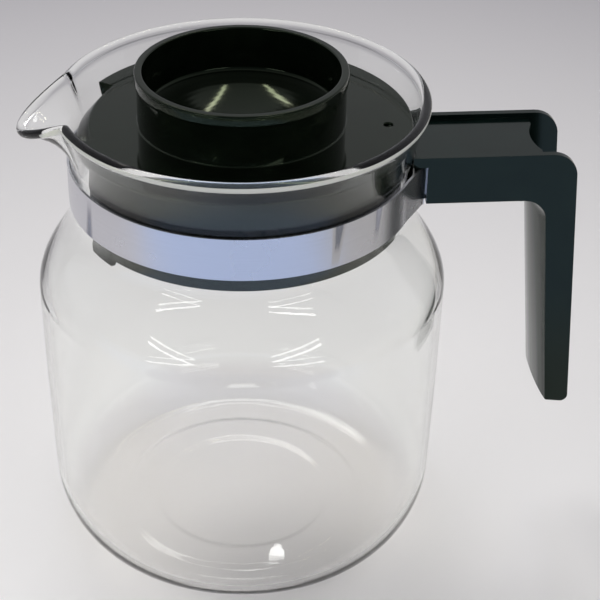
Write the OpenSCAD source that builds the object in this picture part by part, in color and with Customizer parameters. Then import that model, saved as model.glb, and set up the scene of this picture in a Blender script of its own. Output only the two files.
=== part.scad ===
// Glass coffee jug: blown glass with a drawn pouring spout, a steel band clamped round its neck,
// a moulded channel handle and a loose lid with a raised collar.
// Millimetres, Z up. The jug stands on z = 0 with its axis on Z, the spout at -X, the handle at +X.

/* [Glass jug] */
// Widest diameter of the glass
body_d = 140; // [134:1:146]
// Diameter where the heel meets the wall
heel_d = 137.6; // [132:0.2:139]
// Outer diameter of the flat foot ring
foot_d = 104; // [98:1:110]
// Outer diameter of the neck under the steel band
neck_d = 114.2; // [112:0.2:116]
// Outer diameter of the rim
rim_d = 123.6; // [120:0.2:127]
// Height of the rim
glass_h = 167.5; // [164:0.5:170]
// Height at which the heel's curve ends
heel_h = 25; // [20:1:30]
// Height at which the shoulder starts
shoulder_z = 99; // [94:1:104]
// Height at which the shoulder ends in the neck
neck_z = 129; // [126:1:131]
// Height at which the neck starts to flare
flare_z = 149; // [148.6:0.1:151]
// Thickness of the glass wall
wall = 2.4; // [2:0.1:3]
// Thickness of the glass in the base
base_wall = 3.4; // [2.8:0.1:4.5]
// Radius of the fire-polished bead on the rim
rim_bead_r = 1.7; // [1.4:0.1:2]

/* [Spout] */
// How far the lip reaches beyond the rim
spout_out = 12; // [8:0.5:13]
// How far the lip drops below the rim
spout_drop = 8.5; // [6:0.5:11]
// Half of the angle that the spout takes up on the rim
spout_half_a = 19; // [15:1:24]

/* [Steel band] */
// Height of the band's lower edge
band_z = 132; // [131.5:0.1:132.5]
// Height of the band
band_h = 14.6; // [13:0.1:15]
// Thickness of the strip
band_t = 0.8; // [0.6:0.1:1]
// Angle from the handle's axis at which the strip leaves the neck
band_leave_a = 25.6; // [24:0.2:27]

/* [Handle] */
// Width of the handle
handle_w = 33; // [31:0.5:35]
// Height of the arm's upper edge
arm_top_z = 150.4; // [150:0.1:150.8]
// Height of the arm from edge to edge
arm_h = 16.9; // [16.5:0.1:17.5]
// Thickness of the side walls
side_t = 2.4; // [2:0.1:2.8]
// Thickness of the webs between the side walls
web_t = 2.2; // [1.8:0.1:2.6]
// Depth of the tray in the top of the arm
tray_depth = 1.8; // [1.4:0.1:2.2]
// Distance from the axis to the outer face at the top of the grip
grip_top_x = 109.5; // [108:0.5:111]
// Distance from the axis to the outer face at the foot of the grip
grip_foot_x = 115.8; // [113:0.5:118]
// Height of the grip's lowest point
grip_foot_z = 50.5; // [46:0.5:56]
// Depth of the grip at its top
grip_depth_top = 8.9; // [8.5:0.1:9.5]
// Depth of the grip at its foot
grip_depth_foot = 8.6; // [8:0.1:9.2]
// How far the middle of the grip's inner face bulges towards the jug
grip_bulge = 3.2; // [2.4:0.1:3.6]

/* [Lid] */
// Depth of the disc's upper face below the rim
lid_sink = 9; // [7.5:0.5:10.5]
// Thickness of the lid's walls
lid_t = 2; // [1.6:0.1:2.4]
// Outer diameter of the skirt inside the neck
skirt_d = 106.8; // [104:0.2:107.4]
// Height of the skirt, from its lower edge to the disc's upper face
skirt_h = 33; // [30:0.5:36]
// Outer diameter of the raised collar
collar_d = 69.6; // [66:0.2:73]
// Height of the collar above the disc
collar_h = 17.8; // [15:0.2:21]
// Radius at which the disc is cut back towards the spout
recess_r = 50; // [48:0.5:51]
// Half of the angle of the cut-back
recess_half_a = 23; // [18:1:28]
// Angle by which the loose lid stands turned in the neck
lid_turn = -9; // [-15:1:15]

/* [Hidden] */
$fn = 120;
// Overrun of every cut
over = 1;
// Clearance between the lid and the glass
lid_clear = 0.3;
// Clearance between clamped pieces
fit_clear = 0.1;
// Clearance between the handle's nose and the neck
nose_clear = 0.3;

// Glass: derived sizes
body_r = body_d / 2;
heel_r = heel_d / 2;
foot_r = foot_d / 2;
neck_r = neck_d / 2;
foot_ring_w = 6;
pad_r = 30;
groove_h = 0.8;
groove_side = 2;
neck_mid_r = neck_r - wall / 2;
rim_mid_r = rim_d / 2 - rim_bead_r;
rim_mid_z = glass_h - rim_bead_r;
flare_power_share = 1.4;
curve_steps = 10;
swell_steps = 5;
mouth_steps = 5;
bead_steps = 5;
bead_start_a = -35;
// Height at which the mouth is set on the jug, behind the band
mouth_z = 141;
// Share of the mouth's wall that lies below its bead, and a small step along it
mouth_wall_share = 0.9;
probe_share = 0.01;

// Spout: derived sizes
spout_steps = 24;
spout_reach_share = 1.5;
spout_drop_share = 2;
spout_flank_share = 1.25;
spout_key = 0.08;
spout_key_a = 2;
spout_cut_a = spout_half_a + spout_key_a / 2;
spout_cut_r = body_r + spout_out;

// Band: derived sizes
band_in_r = neck_r + fit_clear;
band_mid_r = band_in_r + band_t / 2;
leg_y = handle_w / 2 - side_t - fit_clear - band_t / 2;
leg_gap = 1.9;
leg_bend_x = neck_r + leg_gap;
leg_bend_r = 1.6;
flange_reach = 12.4;
flange_x = neck_r + flange_reach;
flange_in_y = 7;

// Handle: derived sizes
handle_in_w = handle_w - 2 * side_t;
arm_bot_z = arm_top_z - arm_h;
tray_z = arm_top_z - tray_depth;
tunnel_top_z = tray_z - web_t;
tunnel_bot_z = arm_bot_z + web_t;
tunnel_mid_z = (tunnel_top_z + tunnel_bot_z) / 2;
corner_r = 8.5;
corner_z = arm_top_z - corner_r;
inner_fillet_r = 8;
inner_top_x = grip_top_x - grip_depth_top;
inner_foot_x = grip_foot_x - grip_depth_foot;
foot_out_r = 2.4;
foot_in_r = 6.5;
foot_in_start_a = -115;
grip_floor_t = 1.4;
fillet_mid = [inner_top_x - inner_fillet_r, arm_bot_z - inner_fillet_r];
bulge_foot_share = 0.75;
bulge_key = 0.3;
bulge_run_in = 3;
bulge_reach = 6;
bulge_steps = 12;
fillet_steps = 6;
nose_r = neck_r + nose_clear;
wall_setback = 1;
wall_start_x = leg_bend_x + wall_setback;
leg_narrow_x = wall_start_x - nose_clear;
nose_half_w = leg_y - band_t / 2 - fit_clear - nose_clear;
nose_len = 8;
tray_edge = 2.4;
tray_end_x = grip_top_x - corner_r - tray_edge;
tray_hollow_r = 22;
tray_hollow_depth = 2;
bulkhead_x = flange_x + band_t / 2 + fit_clear;
bulkhead_t = 3.2;

// Clamp: sizes of the screw, the washer and the nut plate
screw_r = 2;
screw_hole_r = 2.3;
screw_head_r = 3.8;
screw_head_h = 2.6;
screw_slot_w = 1;
screw_slot_h = 1.2;
screw_tip = 1.5;
washer_r = 4.8;
washer_t = 0.8;
plate_t = 2.6;
plate_x = flange_x - band_t / 2 - fit_clear - plate_t;
plate_half_w = leg_y - leg_bend_r - fit_clear;
plate_half_h = 4.6;
washer_x = bulkhead_x + bulkhead_t + fit_clear;
head_x = washer_x + washer_t + fit_clear;
slot_x = head_x + screw_head_h - screw_slot_h;
blind_x = plate_x - screw_tip - fit_clear - screw_tip;

// Lid: derived sizes
lid_top_z = glass_h - lid_sink;
skirt_z = lid_top_z - skirt_h;
collar_z = lid_top_z + collar_h;
collar_r = collar_d / 2;
collar_lip_h = 3.6;
collar_lip_step = 0.6;
collar_in_r = collar_r - lid_t - collar_lip_step;
collar_root = 0.5;
floor_fillet_r = 3;
dish_r = collar_in_r - floor_fillet_r;
dish_steps = 6;
skirt_r = skirt_d / 2;
skirt_gap_half_a = 33;
disc_bot_z = lid_top_z - lid_t;
ramp_out_r = 54.4;
ramp_drop = 5;
dish_edge_drop = 2;
dish_depth = 3;
dish_edge_z = lid_top_z - dish_edge_drop;
drain_r = 4;
vent_r = 1.5;
vent_at_r = 48;
edge_chamfer = 0.5;
fillet_start_a = -72;
lug_h = 3;
lug_a = 13;
lug_to_a = skirt_gap_half_a + lug_a;
spout_dir_a = 180;
ramp_step = 0.1;
ramp_key = 0.2;
ramp_seam_a = 0.3;
ramp_key_a = 1.4;
ramp_end_a = 2.6;

// Middle of the glass wall in the mouth: share t runs from the neck (0) to the rim (1), and w is how
// much of the spout is there, from none (0) to the full lip (1).
function mouth_mid(t, w) = [
    neck_mid_r + (rim_mid_r - neck_mid_r) * pow(t, flare_power_share)
        + spout_out * w * pow(t, spout_reach_share),
    flare_z + (rim_mid_z - flare_z) * t - spout_drop * w * pow(t, spout_drop_share)
];
function unit(v) = v / norm(v);
function mouth_along(t, w) = unit(mouth_mid(t + probe_share, w) - mouth_mid(t - min(t, probe_share), w));
function mouth_out(t, w) = [mouth_along(t, w)[1], -mouth_along(t, w)[0]];

// One side of the mouth's wall, from the neck to the bead: side is 1 outside and -1 inside, and key is
// how much thinner the wall is than the neck that it is keyed into
function mouth_side(w, side, key, last) = concat(
    [[neck_mid_r + side * (wall / 2 - key), mouth_z - (key > 0 ? over : 0)]],
    [for (i = [0:mouth_steps])
        let (t = mouth_wall_share * i / mouth_steps)
        mouth_mid(t, w) + side * (wall / 2 - key) * mouth_out(t, w)],
    [for (i = [0:last])
        let (a = bead_start_a + (90 - bead_start_a) * i / bead_steps)
        mouth_mid(1, w) + (rim_bead_r - key) * (side * cos(a) * mouth_out(1, w) + sin(a) * mouth_along(1, w))]
);
// Section through the mouth's wall
function mouth_section(w, key) = concat(mouth_side(w, 1, key, bead_steps),
    reverse(mouth_side(w, -1, key, bead_steps - 1)));

// Quarter of an ellipse from the foot up to the wall
function heel(cx, cz, rx, rz) = [for (i = [0:curve_steps])
    let (a = 90 * i / curve_steps) [cx + rx * sin(a), cz - rz * cos(a)]];
// Wall that swells gently from the heel to the shoulder
function swell(r0, r1, z0, z1) = [for (i = [1:swell_steps])
    let (t = i / swell_steps) [r0 + (r1 - r0) * sin(90 * t), z0 + (z1 - z0) * t]];
// Shoulder: one smooth bend in and one out
function shoulder(r0, r1, z0, z1) = [for (i = [1:curve_steps])
    let (t = i / curve_steps) [r1 + (r0 - r1) * (1 + cos(180 * t)) / 2, z0 + (z1 - z0) * t]];

// Section through the jug: outside from the base to the rim, and back inside
function jug_section() = concat(
    [[0, 0], [pad_r, 0], [pad_r + groove_side, groove_h],
     [foot_r - foot_ring_w - groove_side, groove_h], [foot_r - foot_ring_w, 0]],
    heel(foot_r, heel_h, heel_r - foot_r, heel_h),
    swell(heel_r, body_r, heel_h, shoulder_z),
    shoulder(body_r, neck_r, shoulder_z, neck_z),
    mouth_section(0, 0),
    reverse(concat(
        [[0, base_wall]],
        heel(foot_r, heel_h, heel_r - wall - foot_r, heel_h - base_wall),
        swell(heel_r - wall, body_r - wall, heel_h, shoulder_z),
        shoulder(body_r - wall, neck_r - wall, shoulder_z, neck_z)
    ))
);

// How much of the spout is there at an angle from the spout's middle
function spout_w(a) = abs(a) < spout_half_a ? pow(cos(90 * a / spout_half_a), spout_flank_share) : 0;
function on_ring(p, a) = [-p[0] * cos(a), p[0] * sin(a), p[1]];
function spout_angles() = concat(
    [-spout_half_a - spout_key_a],
    [for (j = [0:spout_steps]) -spout_half_a + 2 * spout_half_a * j / spout_steps],
    [spout_half_a + spout_key_a]
);

// Solid through sections with the same number of points; end lists the triangles that close a section
module skin(sections, end) {
    n = len(sections[0]);
    m = len(sections);
    sides = [for (j = [0:m - 2]) for (i = [0:n - 1])
        let (k = (i + 1) % n)
        each [[j * n + i, (j + 1) * n + i, (j + 1) * n + k], [j * n + i, (j + 1) * n + k, j * n + k]]];
    other_end = [for (f = end) [for (i = reverse(f)) (m - 1) * n + i]];
    polyhedron(points = [for (s = sections) each s], faces = concat(sides, end, other_end), convexity = 6);
}

// Solid with one section at each of the spout's angles
module spout() {
    sections = [for (a = spout_angles()) [for (p = mouth_section(spout_w(a), spout_key)) on_ring(p, a)]];
    // Each end is closed from the wall's outer side to its inner side, up to the top of the bead
    n = len(sections[0]);
    top = (n - 1) / 2;
    skin(sections, concat(
        [for (i = [0:top - 2]) each [[i, i + 1, n - 1 - i], [i + 1, n - 2 - i, n - 1 - i]]],
        [[top - 1, top, top + 1]]
    ));
}

module glass_jug() {
    color("lightcyan", 0.35) {
        difference() {
            rotate_extrude() polygon(jug_section());
            // The sector that the spout takes up
            translate([0, 0, mouth_z]) linear_extrude(glass_h) polygon([
                [0, 0],
                spout_cut_r * [-cos(spout_cut_a), -sin(spout_cut_a)],
                spout_cut_r * [-cos(spout_cut_a), sin(spout_cut_a)]
            ]);
        }
        spout();
    }
}

// Strip of one thickness along a line of points, seen from above
function side_way(p, i) = let (n = len(p))
    i == 0 ? unit(p[1] - p[0])
    : i == n - 1 ? unit(p[n - 1] - p[n - 2])
    : unit(unit(p[i] - p[i - 1]) + unit(p[i + 1] - p[i]));
function side_grow(p, i) = let (n = len(p))
    i == 0 || i == n - 1 ? 1 : 1 / (unit(p[i] - p[i - 1]) * side_way(p, i));
function beside(p, d) = [for (i = [0:len(p) - 1])
    let (w = side_way(p, i)) p[i] + d * side_grow(p, i) * [-w[1], w[0]]];
function reverse(p) = [for (i = [len(p) - 1:-1:0]) p[i]];
function strip(p, t) = concat(beside(p, t / 2), reverse(beside(p, -t / 2)));
function bend(c, r, a0, a1, n) = [for (i = [0:n])
    let (a = a0 + (a1 - a0) * i / n) c + r * [cos(a), sin(a)]];

// One leg of the band: from the neck to the arm, along the inside of its wall and in behind the nut plate
leg_from = band_mid_r * [cos(band_leave_a), -sin(band_leave_a)];
leg_steps = 4;
function leg_line() = let (
    heading = atan2(-leg_y - leg_from[1], leg_bend_x - leg_from[0])
) concat(
    [leg_from],
    bend([leg_bend_x + leg_bend_r * tan(heading / 2), -leg_y - leg_bend_r], leg_bend_r,
        90 + heading, 90, leg_steps),
    bend([flange_x - leg_bend_r, -leg_y + leg_bend_r], leg_bend_r, -90, 0, leg_steps),
    [[flange_x, -flange_in_y]]
);
module band_leg() {
    difference() {
        translate([0, 0, band_z]) linear_extrude(band_h) polygon(strip(leg_line(), band_t));
        // Inside the arm the leg is narrower, to pass between the webs
        translate([leg_narrow_x, -handle_w, band_z - over])
            cube([handle_w, handle_w, tunnel_bot_z + fit_clear - band_z + over]);
        translate([leg_narrow_x, -handle_w, tunnel_top_z - fit_clear])
            cube([handle_w, handle_w, band_h]);
    }
}
module neck_band() {
    color("silver") {
        rotate([0, 0, band_leave_a]) rotate_extrude(angle = 360 - 2 * band_leave_a)
            translate([band_in_r, band_z]) square([band_t, band_h]);
        band_leg();
        mirror([0, 1, 0]) band_leg();
    }
}

// The edge of the grip's inner face, seen from the side: 0 is under the arm, 1 to fillet_steps + 1 are on
// the fillet, and the last is below the foot. off moves the point away from the handle.
bulge_last = fillet_steps + 2;
function fillet_a(k) = 90 * (fillet_steps + 1 - k) / fillet_steps;
function edge_x(z) = inner_top_x + (inner_foot_x - inner_top_x)
    * (fillet_mid[1] - z) / (fillet_mid[1] - grip_foot_z - foot_in_r);
function face_at(k, off) =
    k == 0 ? fillet_mid + [-bulge_run_in, inner_fillet_r - off]
    : k < bulge_last ? fillet_mid + (inner_fillet_r - off) * [cos(fillet_a(k)), sin(fillet_a(k))]
    : [edge_x(grip_foot_z - over) - off, grip_foot_z - over];
function bulge_at(k) =
    k == 0 ? 0 : k == bulge_last ? grip_bulge * bulge_foot_share : grip_bulge * pow(cos(fillet_a(k)), 2);

// What lies in front of the grip's bulging face
module grip_front() {
    half_w = handle_w / 2 + over;
    rows = [for (k = [0:bulge_last]) concat(
        [for (i = [0:bulge_steps])
            let (y = half_w * (1 - 2 * i / bulge_steps), share = 2 * y / handle_w)
            let (off = bulge_at(k) * (1 - share * share) + (k == 0 ? bulge_key : 0), p = face_at(k, off))
            [p[0], y, p[1]]],
        [for (i = [bulge_steps:-1:0])
            let (y = half_w * (1 - 2 * i / bulge_steps), p = face_at(k, bulge_reach)) [p[0], y, p[1]]]
    )];
    n = len(rows[0]);
    end = [for (i = [0:bulge_steps - 1]) each [[i, i + 1, n - 1 - i], [i + 1, n - 2 - i, n - 1 - i]]];
    skin(rows, end);
}

// Side view of the handle
function arc(cx, cz, r, a0, a1, n) = bend([cx, cz], r, a0, a1, n);
function handle_outline() = concat(
    [[0, arm_bot_z], [0, arm_top_z]],
    arc(grip_top_x - corner_r, corner_z, corner_r, 90, 0, curve_steps),
    arc(grip_foot_x - foot_out_r, grip_foot_z + foot_out_r, foot_out_r, 0, -90, mouth_steps),
    arc(inner_foot_x - grip_bulge * bulge_foot_share - bulge_key + foot_in_r, grip_foot_z + foot_in_r,
        foot_in_r, foot_in_start_a, -180, mouth_steps),
    [for (k = [fillet_steps + 1:-1:1]) face_at(k, bulge_at(k) + bulge_key)],
    [face_at(0, 0) + [bulge_run_in / 2, 0]]
);
// Side view of the space inside: the arm's tunnel, the open corner and the channel of the grip
function handle_space() = concat(
    [[bulkhead_x - over, tunnel_bot_z], [bulkhead_x - over, tunnel_top_z], [tray_end_x, tunnel_top_z],
     [tray_end_x, arm_top_z + over], [grip_foot_x + corner_r, arm_top_z + over],
     [grip_foot_x + corner_r, grip_foot_z + foot_in_r]],
    [[inner_foot_x + grip_floor_t + foot_out_r, grip_foot_z + foot_in_r],
     [inner_foot_x + grip_floor_t, grip_foot_z + foot_in_r + foot_out_r]],
    [for (k = [fillet_steps + 1:-1:1])
        face_at(k, -web_t - (grip_floor_t - web_t) * (k - 1) / fillet_steps)]
);
module side_plate(outline, width) {
    translate([0, width / 2, 0]) rotate([90, 0, 0]) linear_extrude(width) polygon(outline);
}
module handle() {
    color([0.12, 0.14, 0.15])
    difference() {
        side_plate(handle_outline(), handle_w);
        grip_front();
        // The space between the side walls
        side_plate(handle_space(), handle_in_w);
        // The tray in the top of the arm, and its rounded end over the corner
        translate([0, -handle_in_w / 2, tray_z]) cube([tray_end_x + over, handle_in_w, tray_depth + over]);
        intersection() {
            translate([tray_end_x + tray_hollow_r - tray_hollow_depth, 0, tunnel_top_z - over])
                cylinder(r = tray_hollow_r, h = web_t + tray_depth + 2 * over);
            translate([0, -handle_in_w / 2, tunnel_top_z - over])
                cube([tray_end_x + over, handle_in_w, web_t + tray_depth + 2 * over]);
        }
        // The neck of the glass
        translate([0, 0, arm_bot_z - over]) cylinder(r = nose_r, h = arm_h + 2 * over);
        // Room for the clamp between the nose and the bulkhead
        translate([nose_r + nose_len, -handle_in_w / 2, tunnel_bot_z])
            cube([bulkhead_x - nose_r - nose_len, handle_in_w, tunnel_top_z - tunnel_bot_z]);
        translate([bulkhead_x + bulkhead_t, -handle_in_w / 2, tunnel_bot_z])
            cube([tray_end_x - bulkhead_x - bulkhead_t, handle_in_w, tunnel_top_z - tunnel_bot_z]);
        // Room for the band's legs beside the nose
        for (s = [-1, 1]) scale([1, s, 1]) {
            translate([nose_r - corner_r, nose_half_w, arm_bot_z - over])
                cube([wall_start_x - nose_r + corner_r, handle_w,
                    band_z + band_h + nose_clear - arm_bot_z + over]);
            translate([nose_r, nose_half_w, tunnel_bot_z])
                cube([bulkhead_x - nose_r, handle_in_w / 2 - nose_half_w, tunnel_top_z - tunnel_bot_z]);
        }
        // The hole for the screw, blind in the nose
        translate([blind_x, 0, tunnel_mid_z]) rotate([0, 90, 0])
            cylinder(r = screw_hole_r, h = bulkhead_x + bulkhead_t - blind_x + over);
    }
}

module clamp_nut_plate() {
    color("silver")
    difference() {
        translate([plate_x, -plate_half_w, tunnel_mid_z - plate_half_h])
            cube([plate_t, 2 * plate_half_w, 2 * plate_half_h]);
        translate([plate_x - over, 0, tunnel_mid_z]) rotate([0, 90, 0])
            cylinder(r = screw_r + fit_clear / 2, h = plate_t + 2 * over);
    }
}
module clamp_washer() {
    color("gainsboro")
    translate([washer_x, 0, tunnel_mid_z]) rotate([0, 90, 0]) difference() {
        cylinder(r = washer_r, h = washer_t);
        translate([0, 0, -over]) cylinder(r = screw_hole_r, h = washer_t + 2 * over);
    }
}
module clamp_screw() {
    color("gainsboro")
    difference() {
        union() {
            translate([plate_x - screw_tip, 0, tunnel_mid_z]) rotate([0, 90, 0])
                cylinder(r = screw_r, h = head_x - plate_x + screw_tip + over);
            translate([head_x, 0, tunnel_mid_z]) rotate([0, 90, 0])
                cylinder(r = screw_head_r, h = screw_head_h);
        }
        translate([slot_x, -screw_head_r - over, tunnel_mid_z - screw_slot_w / 2])
            cube([screw_slot_h + over, 2 * (screw_head_r + over), screw_slot_w]);
    }
}

// Inner radius of the mouth at a height, where there is no spout
function mouth_r_at(z) = neck_mid_r - wall / 2
    + (rim_mid_r - neck_mid_r) * pow(max(0, z - flare_z) / (rim_mid_z - flare_z), flare_power_share);
lid_edge_top_r = mouth_r_at(lid_top_z - edge_chamfer) - lid_clear;
lid_edge_bot_r = mouth_r_at(disc_bot_z) - lid_clear;

// Dished floor inside the collar, from the drain to the fillet, down by a distance
function dish_at(i, down) = let (r = drain_r + (dish_r - drain_r) * i / dish_steps)
    [r, dish_edge_z - dish_depth * (1 - pow(r / dish_r, 2)) - down];

// Section through the lid: collar, dished floor and disc
function lid_section() = [
    each [for (i = [0:dish_steps]) dish_at(i, 0)],
    each arc(dish_r, dish_edge_z + floor_fillet_r, floor_fillet_r, fillet_start_a, 0, mouth_steps),
    [collar_in_r, collar_z - edge_chamfer], [collar_in_r + edge_chamfer, collar_z],
    [collar_r - edge_chamfer, collar_z], [collar_r, collar_z - edge_chamfer],
    [collar_r, collar_z - collar_lip_h],
    [collar_r - collar_lip_step, collar_z - collar_lip_h - collar_lip_step],
    [collar_r - collar_lip_step, lid_top_z + lid_t / 2], [collar_r + collar_root, lid_top_z],
    [lid_edge_top_r - edge_chamfer, lid_top_z], [lid_edge_top_r, lid_top_z - edge_chamfer],
    [lid_edge_bot_r, disc_bot_z],
    [collar_r, disc_bot_z],
    each [for (i = [dish_steps:-1:0]) dish_at(i, lid_t)]
];
// Section through the ramp in the cut-back
function ramp_section() = [
    [recess_r - ramp_key, lid_top_z - ramp_step], [ramp_out_r, lid_top_z - ramp_drop],
    [ramp_out_r, lid_top_z - ramp_drop - lid_t], [recess_r - ramp_key, disc_bot_z + ramp_step]
];
// Section through the wall at each end of the ramp
function ramp_end_section() = [
    [recess_r - over, disc_bot_z + lid_t / 2], [ramp_out_r + ramp_step, disc_bot_z + lid_t / 2],
    [ramp_out_r + ramp_step, lid_top_z - ramp_drop - lid_t - ramp_step],
    [recess_r - over, disc_bot_z - lid_t / 2]
];
module sector(from_a, to_a) {
    rotate([0, 0, from_a]) rotate_extrude(angle = to_a - from_a) children();
}
module lid_disc() {
    difference() {
        rotate_extrude() polygon(lid_section());
        // The cut-back towards the spout
        sector(spout_dir_a - recess_half_a, spout_dir_a + recess_half_a)
            translate([recess_r, disc_bot_z - over]) square([rim_d - recess_r, lid_t + 2 * over]);
        // The vent
        translate([vent_at_r, 0, disc_bot_z - over]) cylinder(r = vent_r, h = lid_t + 2 * over);
    }
}
// Section through a cut in the skirt, from below its lower edge up by a height
module skirt_cut(height) {
    translate([skirt_r - lid_t - over, skirt_z - lug_h - over]) square([lid_t + 2 * over, height]);
}
// The skirt, open towards the spout, with a lug below each of its ends
module lid_skirt() {
    difference() {
        rotate_extrude() translate([skirt_r - lid_t, skirt_z - lug_h])
            square([lid_t, disc_bot_z + lid_t / 2 - skirt_z + lug_h]);
        sector(spout_dir_a - skirt_gap_half_a, spout_dir_a + skirt_gap_half_a)
            skirt_cut(disc_bot_z);
        sector(-spout_dir_a + lug_to_a, spout_dir_a - lug_to_a)
            skirt_cut(lug_h + over);
    }
}
module lid() {
    color([0.1, 0.11, 0.11])
    rotate([0, 0, lid_turn]) {
        lid_disc();
        lid_skirt();
        sector(spout_dir_a - recess_half_a - ramp_key_a, spout_dir_a + recess_half_a + ramp_key_a)
            polygon(ramp_section());
        for (s = [0, 1]) mirror([0, s, 0])
            sector(spout_dir_a - recess_half_a - ramp_end_a, spout_dir_a - recess_half_a - ramp_seam_a)
                polygon(ramp_end_section());
    }
}

glass_jug();
neck_band();
handle();
clamp_nut_plate();
clamp_washer();
clamp_screw();
lid();
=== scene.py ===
"""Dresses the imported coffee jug: blown glass, steel band, moulded handle and lid, on a pale table."""

import math

import bmesh
import bpy
from mathutils import Matrix, Vector


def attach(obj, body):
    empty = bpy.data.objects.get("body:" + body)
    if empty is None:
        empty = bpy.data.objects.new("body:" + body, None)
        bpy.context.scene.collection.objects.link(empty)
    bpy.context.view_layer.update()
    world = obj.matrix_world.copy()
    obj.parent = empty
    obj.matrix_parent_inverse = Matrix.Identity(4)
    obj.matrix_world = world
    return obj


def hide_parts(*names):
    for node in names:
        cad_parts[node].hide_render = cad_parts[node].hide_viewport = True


MM = 0.001
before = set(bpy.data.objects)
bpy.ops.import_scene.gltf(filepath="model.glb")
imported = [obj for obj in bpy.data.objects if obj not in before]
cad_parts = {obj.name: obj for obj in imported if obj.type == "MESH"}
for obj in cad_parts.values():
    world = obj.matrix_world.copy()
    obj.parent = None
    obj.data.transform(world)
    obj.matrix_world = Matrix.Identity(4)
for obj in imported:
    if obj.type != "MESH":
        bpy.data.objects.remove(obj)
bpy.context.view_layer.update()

# Sizes of the glass. All sizes are in millimetres, as in the part's source, and all angles in degrees
BODY_R = 70.0
HEEL_R = 68.8
FOOT_R = 52.0
NECK_R = 57.1
RIM_R = 61.8
GLASS_H = 167.5
HEEL_H = 25.0
SHOULDER_Z = 99.0
NECK_Z = 129.0
FLARE_Z = 149.0
WALL = 2.4
BASE_WALL = 3.4
FOOT_RING_W = 6.0
PAD_R = 30.0
GROOVE_H = 0.5
GROOVE_SIDE = 4.0

# Rings across the base, as shares of the pad, of the groove's side and of the floor inside
PAD_SHARES = (0, 0.25, 0.5, 0.75, 0.95, 1)
GROOVE_SHARES = (0.1, 0.3, 0.5, 0.7, 0.9, 1.1)
FLOOR_SHARES = (0, 0.2, 0.4, 0.6, 0.8, 0.95)

# Flare of the mouth, the share of it where the wall gives way to the bead, and the step for its slope
FLARE_POWER = 1.4
WALL_END_SHARE = 0.9
SLOPE_STEP = 0.01

# Bead along the lip: its arc on each side. Along the front, its lowest steps outside are painted whitish
# and part clear, a painted highlight
BEAD_R = 1.7
BEAD_START_A = -35.0
BEAD_END_A = 90.0
BEAD_HIGHLIGHT_STEPS = 6
BEAD_HIGHLIGHT_ANGLES = (-168.0, 4.0)

# Steps of the section, and of the turn round the jug and over the spout
HEEL_STEPS = 20
BODY_STEPS = 12
SHOULDER_STEPS = 24
MOUTH_STEPS = 14
BEAD_STEPS = 10
ROUND_STEP_A = 1.8
SPOUT_STEP_A = 0.6

# Spout: how far it reaches out and drops at the lip, and the half angle that it takes up
SPOUT_OUT = 11.9
SPOUT_DROP = 8.5
SPOUT_HALF_A = 19.0
SPOUT_REACH_POWER = 1.5
SPOUT_DROP_POWER = 2.0
SPOUT_FLANK_POWER = 1.25

# Sizes of the lid
LID_TURN = -9.0
LID_TOP_Z = 158.5
LID_T = 2.0
LID_R = 56.2
LID_EDGE_R = 0.6
LID_EDGE_STEPS = 4
LID_STEP_A = 1.5

# Skirt, with a lug at each end of its gap
SKIRT_R = 53.4
SKIRT_Z = 125.5
SKIRT_GAP_HALF_A = 33.0
SKIRT_EDGE_R = 0.5
LUG_END_A = 46.0
LUG_H = 3.0
LUG_STEP_A = 0.4

# Collar, with the dished floor inside it
COLLAR_R = 34.8
COLLAR_IN_R = 32.2
COLLAR_Z = 176.3
COLLAR_LIP_H = 3.6
COLLAR_LIP_STEP = 0.6
DISH_EDGE_Z = 160.7
DISH_DEPTH = 7.4
DISH_STEPS = 14
DISH_FILLET_R = 1.5
DISH_FILLET_START_A = -75
DISH_FILLET_STEPS = 6
DRAIN_R = 4.0

# Cut-back and ramp towards the spout
RECESS_R = 50.0
RECESS_HALF_A = 23.0
RECESS_STEP_A = 1.2
RAMP_OUT_R = 54.4
RAMP_DROP = 5.0
RAMP_LEAN = 0.6

# The angle over which the disc turns into the ramp, and the skirt into its lug, with the fine steps there
BLEND_A = 1.2
BLEND_MARGIN_A = 1
BLEND_STEP_A = 0.15

# Vent, with a small slanted edge; faces of the disc that lie flatter than that normal are shaded flat
VENT_R = 1.5
VENT_AT_R = 48.0
VENT_EDGE = 0.3
VENT_STEP_A = 12
OVERRUN = 0.1
FLAT_NORMAL_Z = 0.9995

# Eased edges of the frame's nodes: their widths, the angle from which an edge is sharp, the angle up to
# which two faces count as one, and the distance within which points are joined
HANDLE_EDGE = 0.5
STEEL_EDGE = 0.15
EDGE_SEGMENTS = 3
SHARP_A = 32
FLAT_A = 0.4
WELD = 0.01

# The most of a side that a rounded corner of a section takes, and the distance between points that coincide
CORNER_SHARE = 0.45
SAME = 0.00001

# Glass: its colours, the grey painted at the foot as painted shade, the tint through its thickness, and
# what it lets through of the lamps
CLEAR_COLOUR = (0.985, 0.992, 0.985)
# The bead's painted highlight: its whitish colour and how clear it is
BEAD_HIGHLIGHT_COLOUR = (0.95, 0.97, 0.93)
BEAD_HIGHLIGHT_CLEARNESS = 0.36
FOOT_PAINTED_SHADE = (0.925, 0.915, 0.92)
FOOT_PAINTED_SHADE_Z = (7.0, 15.0)
GLASS_IOR = 1.4
WALL_TINT = (0.84, 0.86, 0.66)
WALL_TINT_DENSITY = 5.0
LAMP_THROUGH = (0.865, 0.86, 0.85)

# Steel: the two greys of its lines, which are drawn out round the neck
STEEL_GREYS = [(0.2, (0.60, 0.60, 0.64)), (0.8, (0.72, 0.72, 0.76))]
STEEL_STRETCH = (18, 18, 5200)
PLASTIC_IOR = 1.46

# Table: painted light, from pale to a lavender grey between two distances from its lightest place
TABLE_HALF = 6000.0
TABLE_Z = -0.2
PAINTED_LIGHT_CENTRE = (0.0, -100.0, 0.0)
PAINTED_LIGHT_FADE = (100.0, 620.0)
TABLE_PAINTED_LIGHT_COLOURS = [(0.0, (0.88, 0.87, 0.885)), (1.0, (0.395, 0.385, 0.415))]
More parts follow.
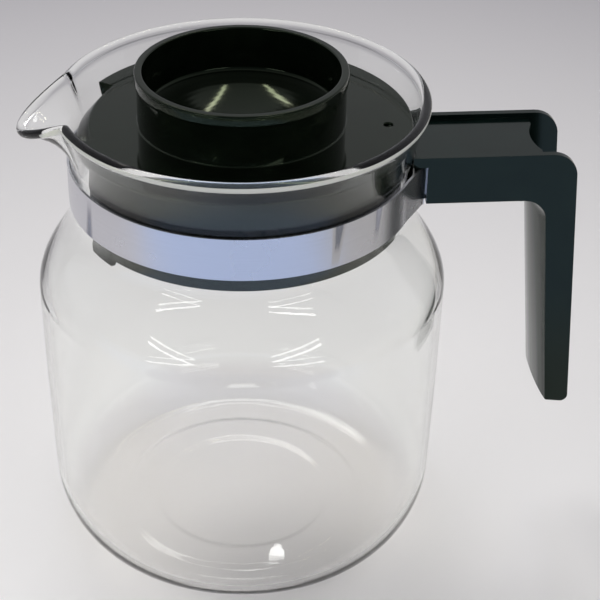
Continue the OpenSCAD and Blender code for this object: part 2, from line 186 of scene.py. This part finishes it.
# Painted reflections: seen only in reflections, the table is bluish in front, as of a window, and greyer to
# the right, as of shade: axis, from and to, colour
TABLE_PAINTED_REFLECTIONS = [
    ("Y", (-80.0, -185.0), (0.60, 0.72, 1.0)),
    ("X", (180.0, 255.0), (0.56, 0.55, 0.54)),
]

# Room: its light, and the colour that is seen of it, from behind the camera (0) to behind the jug (1)
ROOM_LIGHT = (1.0, 0.99, 0.98)
ROOM_STRENGTH = 0.6
ROOM_COLOURS = [(0.0, (0.10, 0.11, 0.13)), (1.0, (0.50, 0.50, 0.53))]
ROOM_DEPTH = (-0.75, 0.45)

# Lamps, aimed at the middle of the jug: place, size and power in watts
AIM = Vector((0, 0, 80)) * MM
WINDOW = ((-250, 900, 1500), (900, 500), 10.5)
SMALL_LAMP = ((103, 1001, 937), (22, 22), 0.012)
# Long lamps: name, both ends, width, power in watts, colour. The frames of two windows behind the camera
# leave their marks on the shoulder, and two ceiling tubes behind the jug show in the bowl of the lid
WHITE = (1.0, 1.0, 1.0)
WARM = (1.0, 0.96, 0.78)
TUBES = [
    ("left_frame_top", (-673, -1257, 440), (-1115, -769, 643), 36, 1.1, WHITE),
    ("left_frame_foot", (-673, -1257, 425), (-1158, -894, 152), 28, 0.8, WHITE),
    ("right_frame_top", (308, -1350, 579), (876, -1003, 697), 36, 1.1, WHITE),
    ("right_frame_foot", (308, -1370, 450), (918, -1125, 289), 28, 0.8, WHITE),
    ("ceiling_tube_left", (-306, 942, 1070), (-162, 499, 1378), 26, 0.6, WARM),
    ("ceiling_tube_right", (306, 942, 1070), (162, 499, 1378), 26, 0.6, WARM),
]

# Camera, from the fit of the photograph
CAMERA_AT = Vector((-26.5, -485.8, 404.9)) * MM
CAMERA_AZ = -3.12
CAMERA_EL = 33.74
CAMERA_ROLL = 0.12
CAMERA_LENS = 99.0
CAMERA_SENSOR = 36.0
CAMERA_SHIFT = (0.10, 0.0283)
CAMERA_CLIP = (0.01, 20.0)


# Small geometry helpers
def arc(centre, radii, start, end, steps):
    """Points on an ellipse, angles in degrees from the first axis."""
    turns = [math.radians(start + (end - start) * i / steps) for i in range(steps + 1)]
    return [(centre[0] + radii[0] * math.cos(a), centre[1] + radii[1] * math.sin(a)) for a in turns]


def rounded(points, radius, steps=3):
    """The closed outline with each corner rounded by up to that radius."""
    out = []
    count = len(points)
    for i, p in enumerate(points):
        here = Vector(p)
        before = Vector(points[i - 1]) - here
        after = Vector(points[(i + 1) % count]) - here
        reach = min(radius, before.length * CORNER_SHARE, after.length * CORNER_SHARE)
        first = here + before.normalized() * reach
        last = here + after.normalized() * reach
        for k in range(steps + 1):
            t = k / steps
            q = first * (1 - t) ** 2 + here * 2 * t * (1 - t) + last * t**2
            out.append((q.x, q.y))
    return out


def mesh_piece(name, verts, faces, smooth=True, second=()):
    """A new object from points in millimetres; the faces in second take its second material."""
    mesh = bpy.data.meshes.new(name)
    mesh.from_pydata([tuple(c * MM for c in v) for v in verts], [], faces)
    for i in second:
        mesh.polygons[i].material_index = 1
    mesh.validate()
    bm = bmesh.new()
    bm.from_mesh(mesh)
    # Only points that coincide, such as those on the axis, become one
    bmesh.ops.remove_doubles(bm, verts=bm.verts, dist=SAME * MM)
    bmesh.ops.recalc_face_normals(bm, faces=bm.faces)
    bm.to_mesh(mesh)
    bm.free()
    obj = bpy.data.objects.new(name, mesh)
    bpy.context.scene.collection.objects.link(obj)
    for polygon in mesh.polygons:
        polygon.use_smooth = smooth
    return obj


def lathe(name, section_at, angles, closed_section=True, full_turn=True, marked=(), marked_at=()):
    """A piece with one section at each angle; section_at(angle) gives (radius, height) points.

    The section's steps in marked take the piece's second material, at the numbered angles in marked_at.
    """
    rows = [section_at(a) for a in angles]
    n = len(rows[0])
    verts = []
    for a, row in zip(angles, rows):
        c, s = math.cos(math.radians(a)), math.sin(math.radians(a))
        verts += [(r * c, r * s, z) for r, z in row]
    faces = []
    spans = len(angles) if full_turn else len(angles) - 1
    steps = n if closed_section else n - 1
    for j in range(spans):
        k = (j + 1) % len(angles)
        for i in range(steps):
            i2 = (i + 1) % n
            faces.append((j * n + i, k * n + i, k * n + i2, j * n + i2))
    if not full_turn:
        faces.append(tuple(range(n)))
        faces.append(tuple((len(angles) - 1) * n + i for i in reversed(range(n))))
    second = [j * steps + i for j in marked_at for i in marked]
    return mesh_piece(name, verts, faces, second=second)


def spread(start, end, step):
    """Even places from start up to, but not including, end, about a step apart."""
    count = max(1, round((end - start) / step))
    return [start + (end - start) * i / count for i in range(count)]


# Glass
def mouth_mid(t, w):
    """Middle of the mouth's wall from the neck (0) to the rim (1), with w of the spout there."""
    mid_neck = NECK_R - WALL / 2
    mid_rim = RIM_R - BEAD_R
    r = mid_neck + (mid_rim - mid_neck) * t**FLARE_POWER + SPOUT_OUT * w * t**SPOUT_REACH_POWER
    z = FLARE_Z + (GLASS_H - BEAD_R - FLARE_Z) * t - SPOUT_DROP * w * t**SPOUT_DROP_POWER
    return Vector((r, z))


def mouth_along(t, w):
    """Direction of the mouth's wall at that share of it."""
    return (mouth_mid(t + SLOPE_STEP, w) - mouth_mid(max(0, t - SLOPE_STEP), w)).normalized()


def mouth_side(w, side):
    """The outer side (1) or the inner side (-1) of the mouth's wall, with half of the bead."""
    points = []
    for i in range(MOUTH_STEPS + 1):
        t = WALL_END_SHARE * i / MOUTH_STEPS
        along = mouth_along(t, w)
        points.append(mouth_mid(t, w) + Vector((along.y, -along.x)) * side * WALL / 2)
    along = mouth_along(1, w)
    out = Vector((along.y, -along.x))
    for i in range(BEAD_STEPS + 1):
        a = math.radians(BEAD_START_A + (BEAD_END_A - BEAD_START_A) * i / BEAD_STEPS)
        points.append(mouth_mid(1, w) + (out * side * math.cos(a) + along * math.sin(a)) * BEAD_R)
    return [(p.x, p.y) for p in points]


def wall_side(inset, foot_z):
    """One side of the body's wall from the foot to the neck."""
    heel_r = HEEL_R - inset
    points = arc((FOOT_R, HEEL_H), (heel_r - FOOT_R, HEEL_H - foot_z), -90, 0, HEEL_STEPS)
    for i in range(1, BODY_STEPS + 1):
        t = i / BODY_STEPS
        swell = math.sin(math.radians(90 * t))
        points.append((heel_r + (BODY_R - HEEL_R) * swell, HEEL_H + (SHOULDER_Z - HEEL_H) * t))
    for i in range(1, SHOULDER_STEPS + 1):
        t = i / SHOULDER_STEPS
        fall = (1 + math.cos(math.pi * t)) / 2
        points.append((NECK_R - inset + (BODY_R - NECK_R) * fall, SHOULDER_Z + (NECK_Z - SHOULDER_Z) * t))
    return points


def spout_share(angle):
    """How much of the spout there is at that angle, from 0 beside it to 1 at its middle."""
    from_middle = abs((angle + 360) % 360 - 180)
    if from_middle >= SPOUT_HALF_A:
        return 0.0
    return math.cos(math.radians(90 * from_middle / SPOUT_HALF_A)) ** SPOUT_FLANK_POWER


def glass_outside(w):
    """From the middle of the base to the top of the bead, with w of the spout there."""
    pad = [(PAD_R * share, 0) for share in PAD_SHARES]
    groove_out_r = FOOT_R - FOOT_RING_W
    rise = [(t, GROOVE_H * (1 - math.cos(math.pi * t)) / 2) for t in GROOVE_SHARES]
    groove = [(PAD_R + GROOVE_SIDE * t, z) for t, z in rise]
    groove += [(groove_out_r - GROOVE_SIDE * t, z) for t, z in rise[::-1]]
    return pad + groove + [(groove_out_r, 0)] + wall_side(0, 0) + mouth_side(w, 1)


def glass_inside(w):
    """From the middle of the floor to just short of the top of the bead."""
    floor = [(FOOT_R * share, BASE_WALL) for share in FLOOR_SHARES]
    return floor + wall_side(WALL, BASE_WALL) + mouth_side(w, -1)[:-1]


def glass_section(angle):
    w = spout_share(angle)
    return glass_outside(w) + glass_inside(w)[::-1]


def build_glass():
    angles = spread(-180 + SPOUT_HALF_A, 180 - SPOUT_HALF_A, ROUND_STEP_A)
    angles += spread(180 - SPOUT_HALF_A, 180 + SPOUT_HALF_A, SPOUT_STEP_A)
    bead_start = len(glass_outside(0)) - BEAD_STEPS - 1
    # The lowest outer steps of the bead along the front take the painted highlight
    bead = range(bead_start, bead_start + BEAD_HIGHLIGHT_STEPS)
    turned = [(a + 180) % 360 - 180 for a in angles]
    front = [j for j, a in enumerate(turned) if BEAD_HIGHLIGHT_ANGLES[0] <= a <= BEAD_HIGHLIGHT_ANGLES[1]]
    piece = lathe("blown_glass", glass_section, angles, closed_section=False, marked=bead, marked_at=front)
    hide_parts("glass_jug")
    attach(piece, "jug")
    return piece


# Lid
def lid_outline(ramp):
    """Section of the lid; ramp is 0 where the disc is whole and 1 where it is cut back."""
    end_r = LID_R + (RAMP_OUT_R - LID_R) * ramp
    end_z = LID_TOP_Z - RAMP_DROP * ramp
    bottom_z = LID_TOP_Z - LID_T
    dish_r = COLLAR_IN_R - DISH_FILLET_R
    rings = [DRAIN_R + (dish_r - DRAIN_R) * i / DISH_STEPS for i in range(DISH_STEPS + 1)]
    dish = [(r, DISH_EDGE_Z - DISH_DEPTH * (1 - (r / dish_r) ** 2)) for r in rings]
    fillet_at = (dish_r, DISH_EDGE_Z + DISH_FILLET_R)
    fillet = arc(fillet_at, (DISH_FILLET_R, DISH_FILLET_R), DISH_FILLET_START_A, 0, DISH_FILLET_STEPS)
    return dish + fillet + [
        (COLLAR_IN_R, COLLAR_Z),
        (COLLAR_R, COLLAR_Z),
        (COLLAR_R, COLLAR_Z - COLLAR_LIP_H),
        (COLLAR_R - COLLAR_LIP_STEP, COLLAR_Z - COLLAR_LIP_H - COLLAR_LIP_STEP),
        (COLLAR_R - COLLAR_LIP_STEP, LID_TOP_Z),
        (RECESS_R, LID_TOP_Z),
        (end_r, end_z),
        (end_r - RAMP_LEAN, end_z - LID_T),
        (RECESS_R, bottom_z),
        (COLLAR_R, bottom_z),
    ] + [(r, z - LID_T) for r, z in dish[::-1]]


def lid_section(angle):
    from_spout = abs((angle - LID_TURN + 360) % 360 - 180)
    t = min(1.0, max(0.0, (RECESS_HALF_A - from_spout) / BLEND_A + 0.5))
    return rounded(lid_outline(t * t * (3 - 2 * t)), LID_EDGE_R, LID_EDGE_STEPS)


def skirt_section(lowest):
    top = LID_TOP_Z - LID_T / 2
    inner_r = SKIRT_R - LID_T
    return rounded([(inner_r, lowest), (SKIRT_R, lowest), (SKIRT_R, top), (inner_r, top)], SKIRT_EDGE_R)


def drill_vent(disc):
    """Cuts the vent from above through the lid's disc, with a small slanted edge."""
    low_z = LID_TOP_Z - 2 * LID_T
    wide_r = VENT_R + (VENT_EDGE + OVERRUN)
    section = [(0.0, low_z), (VENT_R, low_z), (VENT_R, LID_TOP_Z - VENT_EDGE)]
    section += [(wide_r, LID_TOP_Z + OVERRUN), (0.0, LID_TOP_Z + OVERRUN)]
    bit = lathe("drill", lambda angle: section, spread(0, 360, VENT_STEP_A), closed_section=False)
    turn = math.radians(LID_TURN)
    bit.location = (VENT_AT_R * math.cos(turn) * MM, VENT_AT_R * math.sin(turn) * MM, 0)
    bpy.context.view_layer.update()
    cut = disc.modifiers.new("hole", "BOOLEAN")
    cut.object = bit
    cut.operation = "DIFFERENCE"
    cut.solver = "EXACT"
    done = disc.evaluated_get(bpy.context.evaluated_depsgraph_get())
    disc.data = bpy.data.meshes.new_from_object(done)
    disc.modifiers.clear()
    for polygon in disc.data.polygons:
        polygon.use_smooth = abs(polygon.normal.z) < FLAT_NORMAL_Z
    bpy.data.objects.remove(bit)


def build_lid_top():
    """The disc, collar and dished floor, with fine steps where the cut-back begins and ends."""
    start = 180 + LID_TURN - RECESS_HALF_A
    end = 180 + LID_TURN + RECESS_HALF_A
    again = start + 360
    angles = spread(start + BLEND_MARGIN_A, end - BLEND_MARGIN_A, RECESS_STEP_A)
    angles += spread(end - BLEND_MARGIN_A, end + BLEND_MARGIN_A, BLEND_STEP_A)
    angles += spread(end + BLEND_MARGIN_A, again - BLEND_MARGIN_A, LID_STEP_A)
    angles += spread(again - BLEND_MARGIN_A, again + BLEND_MARGIN_A, BLEND_STEP_A)
    return lathe("lid_disc_and_collar", lid_section, angles)


def build_skirt():
    """The skirt below the disc, open towards the spout, with a lug at each end."""
    start = 180 + LID_TURN + SKIRT_GAP_HALF_A
    end = 180 + LID_TURN + 360 - SKIRT_GAP_HALF_A
    lug = LUG_END_A - SKIRT_GAP_HALF_A

    def skirt_at(angle):
        into = min(angle - start, end - angle)
        return skirt_section(SKIRT_Z - LUG_H * min(1.0, max(0.0, (lug - into) / BLEND_A)))

    angles = spread(start, start + lug, LUG_STEP_A)
    angles += spread(start + lug, end - lug, LID_STEP_A)
    angles += spread(end - lug, end, LUG_STEP_A) + [end]
    return lathe("lid_skirt", skirt_at, angles, full_turn=False)


def build_lid():
    top = build_lid_top()
    skirt = build_skirt()
    drill_vent(top)
    for piece in (top, skirt):
        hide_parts("lid")
        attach(piece, "lid")
    return top, skirt


# Materials
class Nodes:
    """A material's node tree, with the shader and the object coordinates ready."""

    def __init__(self, name):
        self.material = bpy.data.materials.new(name)
        self.material.use_nodes = True
        self.tree = self.material.node_tree
        self.shader = self.tree.nodes["Principled BSDF"]
        self.output = self.tree.nodes["Material Output"]
        self.place = self.add("ShaderNodeTexCoord").outputs["Object"]

    def add(self, kind, **values):
        """A new node; each value goes to its setting of that name, or else to its input."""
        node = self.tree.nodes.new(kind)
        for key, value in values.items():
            if hasattr(node, key):
                setattr(node, key, value)
            else:
                node.inputs[key].default_value = value
        return node

    def link(self, a, b):
        self.tree.links.new(a, b)

    def set(self, socket, value):
        self.shader.inputs[socket].default_value = value

    def noise(self, scale, detail, roughness=0.55, stretch=None):
        node = self.add("ShaderNodeTexNoise", Scale=scale, Detail=detail, Roughness=roughness)
        source = self.place
        if stretch:
            mapping = self.add("ShaderNodeMapping", Scale=stretch)
            self.link(self.place, mapping.inputs["Vector"])
            source = mapping.outputs["Vector"]
        self.link(source, node.inputs["Vector"])
        return node.outputs["Fac"]

    def ramp(self, factor, stops):
        node = self.add("ShaderNodeValToRGB")
        fill_ramp(node, stops)
        self.link(factor, node.inputs["Fac"])
        return node.outputs["Color"]

    def share(self, value, start, end, kind="LINEAR"):
        """How far a value lies from start (0) to end (1)."""
        node = self.add("ShaderNodeMapRange", interpolation_type=kind)
        node.inputs["From Min"].default_value = start
        node.inputs["From Max"].default_value = end
        self.link(value, node.inputs["Value"])
        return node.outputs["Result"]

    def axis(self, name):
        split = self.add("ShaderNodeSeparateXYZ")
        self.link(self.place, split.inputs["Vector"])
        return split.outputs[name]

    def roughness(self, factor, low, high):
        node = self.add("ShaderNodeMapRange")
        node.inputs["To Min"].default_value = low
        node.inputs["To Max"].default_value = high
        self.link(factor, node.inputs["Value"])
        self.link(node.outputs["Result"], self.shader.inputs["Roughness"])

    def bump(self, height, strength, distance):
        node = self.add("ShaderNodeBump", Strength=strength, Distance=distance)
        self.link(height, node.inputs["Height"])
        self.link(node.outputs["Normal"], self.shader.inputs["Normal"])


def fill_ramp(node, stops):
    """Sets the two colours of a ramp from (place, colour) pairs."""
    for element, (at, colour) in zip(node.color_ramp.elements, stops):
        element.position = at
        element.color = (*colour, 1.0)


def glass_material(name, colour, clearness):
    """Clear blown glass, slightly green through its thickness, that lets lamps through."""
    m = Nodes(name)
    # Painted shade: the glass is greyer low down at the foot
    height = m.share(m.axis("Z"), FOOT_PAINTED_SHADE_Z[0] * MM, FOOT_PAINTED_SHADE_Z[1] * MM, "SMOOTHSTEP")
    m.link(m.ramp(height, [(0.0, FOOT_PAINTED_SHADE), (1.0, colour)]), m.shader.inputs["Base Color"])
    m.set("Transmission Weight", clearness)
    m.set("IOR", GLASS_IOR)
    m.roughness(m.noise(scale=35, detail=3), low=0.0, high=0.012)
    m.bump(m.noise(scale=28, detail=1.5), strength=0.05, distance=0.6 * MM)
    tint = m.add("ShaderNodeVolumeAbsorption", Color=(*WALL_TINT, 1), Density=WALL_TINT_DENSITY)
    m.link(tint.outputs["Volume"], m.output.inputs["Volume"])
    clear = m.add("ShaderNodeBsdfTransparent", Color=(*LAMP_THROUGH, 1))
    mix = m.add("ShaderNodeMixShader")
    path = m.add("ShaderNodeLightPath")
    m.link(path.outputs["Is Shadow Ray"], mix.inputs["Fac"])
    m.link(m.shader.outputs["BSDF"], mix.inputs[1])
    m.link(clear.outputs["BSDF"], mix.inputs[2])
    m.link(mix.outputs["Shader"], m.output.inputs["Surface"])
    return m.material


def steel_material():
    """Rolled stainless strip with fine lines that run round the neck."""
    m = Nodes("satin_steel_strip")
    lines = m.noise(scale=1.0, detail=6, roughness=0.6, stretch=STEEL_STRETCH)
    m.link(m.ramp(lines, STEEL_GREYS), m.shader.inputs["Base Color"])
    m.set("Metallic", 1.0)
    m.roughness(m.noise(scale=60, detail=3), low=0.2, high=0.32)
    m.bump(lines, strength=0.12, distance=0.05 * MM)
    return m.material


def plastic_material(name, dark, light, rough, grain, depth, sheen, level):
    """Moulded black plastic with a fine skin and slight rubbing."""
    m = Nodes(name)
    cloud = m.noise(scale=90, detail=5)
    m.link(m.ramp(cloud, [(0.3, dark), (0.75, light)]), m.shader.inputs["Base Color"])
    m.roughness(m.noise(scale=160, detail=6, roughness=0.65), low=rough[0], high=rough[1])
    m.bump(m.noise(scale=grain, detail=2), strength=0.08, distance=depth * MM)
    m.set("IOR", PLASTIC_IOR)
    m.set("Specular Tint", (*sheen, 1.0))
    m.set("Specular IOR Level", level)
    return m.material


def lid_material():
    return plastic_material(
        "lid_black_plastic",
        dark=(0.001, 0.002, 0.001),
        light=(0.003, 0.005, 0.003),
        rough=(0.05, 0.1),
        grain=900,
        depth=0.01,
        sheen=(0.8, 1.0, 0.68),
        level=0.36,
    )


def handle_material():
    return plastic_material(
        "handle_black_plastic",
        dark=(0.001, 0.003, 0.003),
        light=(0.003, 0.007, 0.006),
        rough=(0.1, 0.17),
        grain=1400,
        depth=0.02,
        sheen=(0.8, 1.0, 0.84),
        level=0.37,
    )


def give(obj, material):
    obj.data.materials.clear()
    obj.data.materials.append(material)


def ease_edges(obj, width):
    """Rounds the sharp edges of a CAD node by modifiers alone."""
    weld = obj.modifiers.new("weld", "WELD")
    weld.merge_threshold = WELD * MM
    flat = obj.modifiers.new("flat", "DECIMATE")
    flat.decimate_type = "DISSOLVE"
    flat.angle_limit = math.radians(FLAT_A)
    bevel = obj.modifiers.new("ease", "BEVEL")
    bevel.width = width * MM
    bevel.segments = EDGE_SEGMENTS
    bevel.limit_method = "ANGLE"
    bevel.angle_limit = math.radians(SHARP_A)
    bevel.use_clamp_overlap = True
    bevel.harden_normals = False
    for polygon in obj.data.polygons:
        polygon.use_smooth = True
    normals = obj.modifiers.new("normals", "WEIGHTED_NORMAL")
    normals.keep_sharp = False


def dress():
    """Builds the glass and the lid, and gives every piece and CAD node its material."""
    glass = build_glass()
    lid_pieces = build_lid()
    # The glass's faces already hold the number of their material, 0 or 1, so these are only appended
    glass.data.materials.append(glass_material("clear_blown_glass", CLEAR_COLOUR, 1.0))
    # The second material, on those steps of the bead, is a painted highlight
    glass.data.materials.append(glass_material("bead_painted_highlight", BEAD_HIGHLIGHT_COLOUR, BEAD_HIGHLIGHT_CLEARNESS))
    lid_plastic = lid_material()
    for piece in lid_pieces:
        give(piece, lid_plastic)
    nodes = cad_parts
    give(nodes["handle"], handle_material())
    ease_edges(nodes["handle"], HANDLE_EDGE)
    steel = steel_material()
    for name in ("neck_band", "clamp_nut_plate", "clamp_washer", "clamp_screw"):
        give(nodes[name], steel)
        ease_edges(nodes[name], STEEL_EDGE)


# Stage
def build_table():
    """A pale table that darkens to a lavender grey away from the jug, as painted light, with painted
    reflections.
    """
    corners = [(-1, -1), (1, -1), (1, 1), (-1, 1)]
    verts = [(x * TABLE_HALF, y * TABLE_HALF, 0) for x, y in corners]
    table = mesh_piece("table", verts, [(0, 1, 2, 3)], smooth=False)
    table.location.z = TABLE_Z * MM
    m = Nodes("table_painted_light_and_reflections")
    away = m.add("ShaderNodeVectorMath", operation="DISTANCE")
    away.inputs[1].default_value = tuple(c * MM for c in PAINTED_LIGHT_CENTRE)
    m.link(m.place, away.inputs[0])
    # Painted light: the colour falls off from pale to lavender grey away from the lightest place
    far = m.share(away.outputs["Value"], PAINTED_LIGHT_FADE[0] * MM, PAINTED_LIGHT_FADE[1] * MM)
    colour = m.ramp(far, TABLE_PAINTED_LIGHT_COLOURS)
    path = m.add("ShaderNodeLightPath")
    for axis, edges, tone in TABLE_PAINTED_REFLECTIONS:
        part = m.share(m.axis(axis), edges[0] * MM, edges[1] * MM, "SMOOTHSTEP")
        # The painted reflection shows only where the ray was mirrored at least once
        mirrored = m.add("ShaderNodeMath", operation="MINIMUM")
        m.link(part, mirrored.inputs[0])
        m.link(path.outputs["Glossy Depth"], mirrored.inputs[1])
        mix = m.add("ShaderNodeMix", data_type="RGBA")
        m.link(mirrored.outputs["Value"], mix.inputs["Factor"])
        # Inputs 6 and 7 and output 2 are the ones for colours
        m.link(colour, mix.inputs[6])
        mix.inputs[7].default_value = (*tone, 1.0)
        colour = mix.outputs[2]
    m.link(colour, m.shader.inputs["Base Color"])
    m.set("Roughness", 0.85)
    m.set("Specular IOR Level", 0.2)
    give(table, m.material)


def build_world():
    """A plain light room, whose seen colour goes from dark behind the camera to grey behind the jug."""
    world = bpy.data.worlds.new("room")
    bpy.context.scene.world = world
    world.use_nodes = True
    tree = world.node_tree
    light = tree.nodes["Background"]
    light.inputs["Color"].default_value = (*ROOM_LIGHT, 1)
    light.inputs["Strength"].default_value = ROOM_STRENGTH
    seen = tree.nodes.new("ShaderNodeBackground")
    seen.inputs["Strength"].default_value = 1.0
    place = tree.nodes.new("ShaderNodeTexCoord")
    split = tree.nodes.new("ShaderNodeSeparateXYZ")
    tree.links.new(place.outputs["Generated"], split.inputs["Vector"])
    depth = tree.nodes.new("ShaderNodeMapRange")
    depth.inputs["From Min"].default_value = ROOM_DEPTH[0]
    depth.inputs["From Max"].default_value = ROOM_DEPTH[1]
    tree.links.new(split.outputs["Y"], depth.inputs["Value"])
    room = tree.nodes.new("ShaderNodeValToRGB")
    fill_ramp(room, ROOM_COLOURS)
    tree.links.new(depth.outputs["Result"], room.inputs["Fac"])
    tree.links.new(room.outputs["Color"], seen.inputs["Color"])
    path = tree.nodes.new("ShaderNodeLightPath")
    total = path.outputs["Is Camera Ray"]
    for name in ("Is Glossy Ray", "Is Transmission Ray"):
        add = tree.nodes.new("ShaderNodeMath")
        add.operation = "MAXIMUM"
        tree.links.new(total, add.inputs[0])
        tree.links.new(path.outputs[name], add.inputs[1])
        total = add.outputs[0]
    mix = tree.nodes.new("ShaderNodeMixShader")
    tree.links.new(total, mix.inputs["Fac"])
    tree.links.new(light.outputs["Background"], mix.inputs[1])
    tree.links.new(seen.outputs["Background"], mix.inputs[2])
    tree.links.new(mix.outputs["Shader"], tree.nodes["World Output"].inputs["Surface"])


def area_lamp(name, at, size, power):
    """A rectangular lamp that shines at the middle of the jug."""
    data = bpy.data.lights.new(name, "AREA")
    data.shape = "RECTANGLE"
    data.size, data.size_y = size[0] * MM, size[1] * MM
    data.energy = power
    lamp = bpy.data.objects.new(name, data)
    bpy.context.scene.collection.objects.link(lamp)
    lamp.location = Vector(at) * MM
    lamp.rotation_euler = (AIM - lamp.location).to_track_quat("-Z", "Y").to_euler()
    return lamp


def tube(name, start, end, width, power, colour):
    """A long lamp between two points, which shines at the jug."""
    start, end = Vector(start), Vector(end)
    lamp = area_lamp(name, (start + end) / 2, ((end - start).length, width), power)
    lamp.data.color = colour
    back = (lamp.location - AIM).normalized()
    along = (end - start).normalized()
    across = back.cross(along).normalized()
    turn = Matrix((across.cross(back), across, back)).transposed()
    lamp.rotation_euler = turn.to_euler()


def build_lamps():
    # The window behind the jug lights it but stays out of the reflections
    area_lamp("back_window", *WINDOW).visible_glossy = False
    for name, start, end, width, power, colour in TUBES:
        tube(name, start, end, width, power, colour)
    area_lamp("small_lamp", *SMALL_LAMP).data.shape = "DISK"


def build_camera():
    data = bpy.data.cameras.new("camera")
    data.sensor_width = CAMERA_SENSOR
    data.lens = CAMERA_LENS
    data.shift_x, data.shift_y = CAMERA_SHIFT
    data.clip_start, data.clip_end = CAMERA_CLIP
    camera = bpy.data.objects.new("camera", data)
    bpy.context.scene.collection.objects.link(camera)
    camera.location = CAMERA_AT
    # The azimuth turns the view from +Y, and the elevation tips it down
    turns = (90 - CAMERA_EL, CAMERA_ROLL, CAMERA_AZ)
    camera.rotation_euler = [math.radians(a) for a in turns]
    bpy.context.scene.camera = camera


dress()
build_table()
build_world()
build_lamps()
build_camera()
bpy.context.scene.view_settings.view_transform = "Standard"
